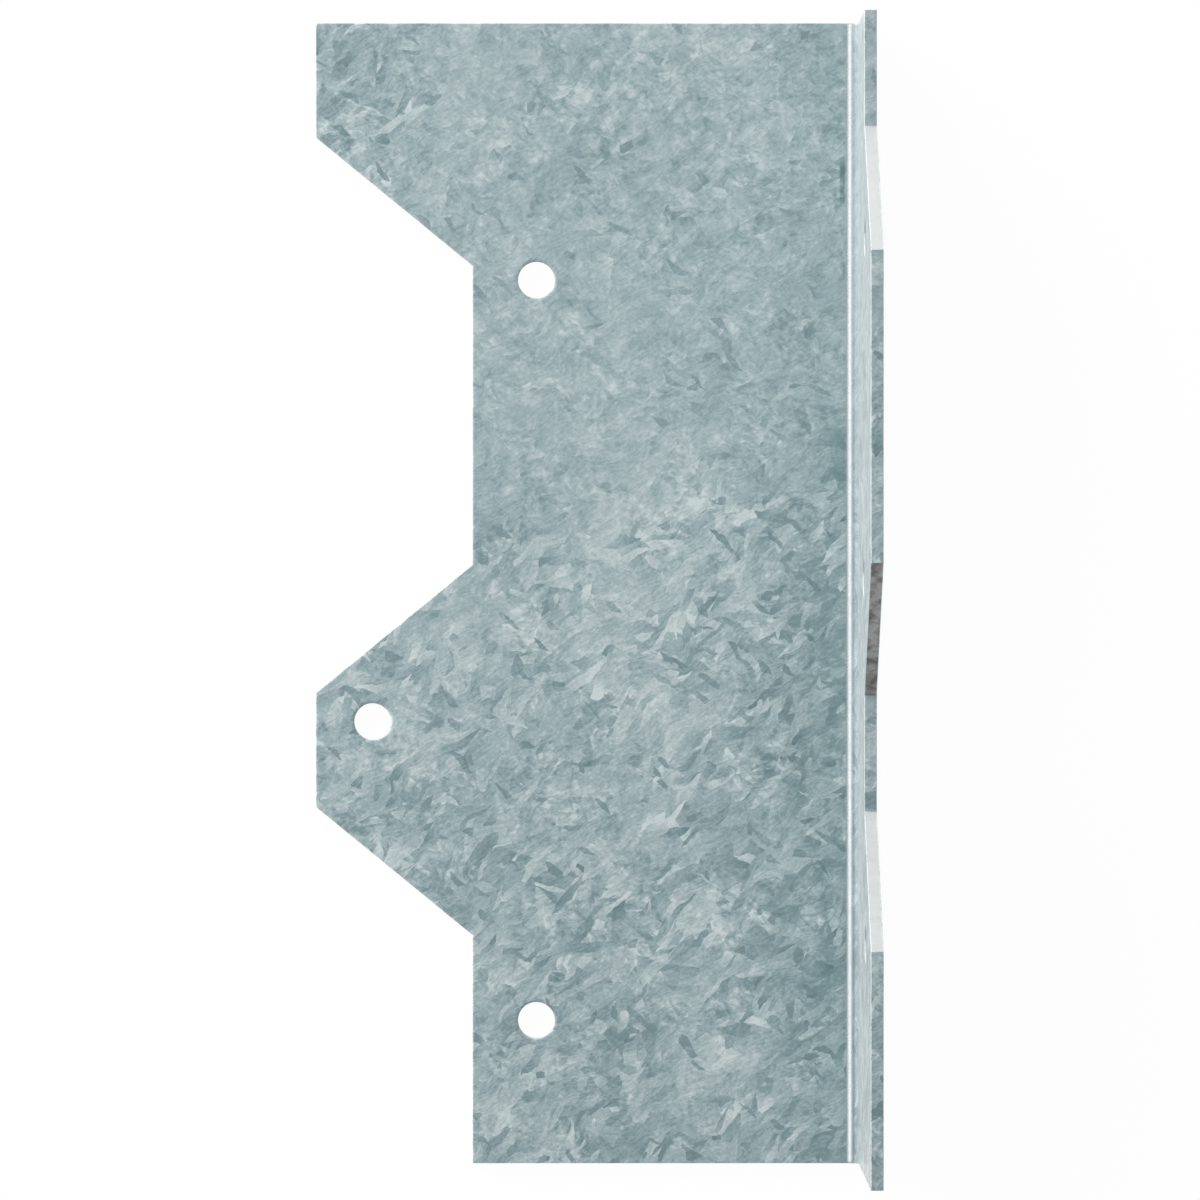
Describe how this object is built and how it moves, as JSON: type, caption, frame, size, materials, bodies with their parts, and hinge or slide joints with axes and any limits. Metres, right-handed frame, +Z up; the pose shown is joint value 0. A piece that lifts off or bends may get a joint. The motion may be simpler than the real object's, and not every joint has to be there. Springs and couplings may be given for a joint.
{
  "type": "reinforcing angle",
  "caption": "Folded galvanised steel angle with unequal legs, stepped tab edges and punched nail holes, for nailing two timbers together at a square corner.",
  "frame": {"origin": "middle of the box of the part on the bearing face of the long leg, which lies on the surface below it", "axes": "+Y along the fold towards the end where the long leg has its end tab, +X out of the bearing face of the short leg, +Z up out of the inside face of the long leg"},
  "size_m": [0.0618, 0.127, 0.0365],
  "materials": {
    "galvanised_steel": "hot-dip galvanised sheet with a fine blue-grey spangle, satin"
  },
  "bodies": {
    "root": {"reinforcing_angle": "galvanised_steel"}
  },
  "joints": []
}
